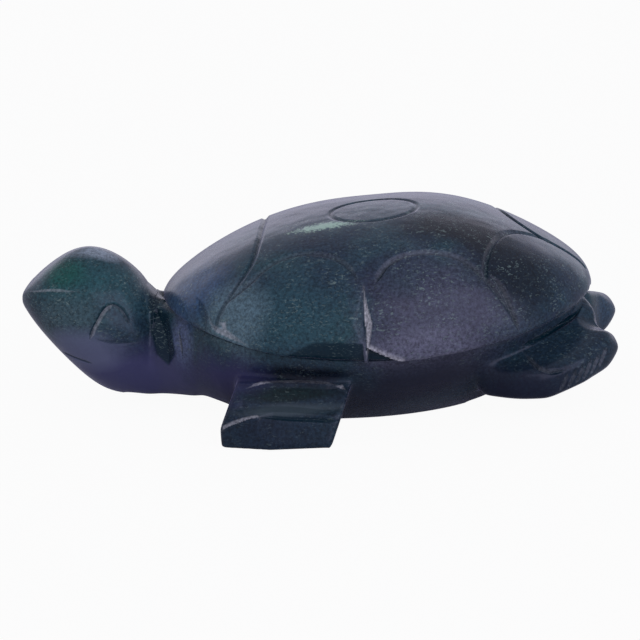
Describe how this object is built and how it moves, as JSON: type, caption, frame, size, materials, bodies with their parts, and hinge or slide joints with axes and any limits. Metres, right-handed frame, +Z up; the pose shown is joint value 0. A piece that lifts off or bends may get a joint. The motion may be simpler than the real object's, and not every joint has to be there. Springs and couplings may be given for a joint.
{
  "type": "turtle figurine",
  "caption": "Carved and polished dark green stone turtle ornament with a domed scute-carved shell, raised head and spread flippers, resting on a flat belly.",
  "frame": {"origin": "on the plane that the belly rests on, below the centre of the bounding box", "axes": "+X from the head to the tail, +Z up, so the turtle's own left side is at -Y"},
  "size_m": [0.1019, 0.0606, 0.0329],
  "materials": {
    "stone": "polished"
  },
  "bodies": {
    "root": {"carapace": "stone", "body": "stone", "neck": "stone", "head": "stone", "front_left_flipper": "stone", "front_right_flipper": "stone", "rear_left_flipper": "stone", "rear_right_flipper": "stone"}
  },
  "joints": []
}
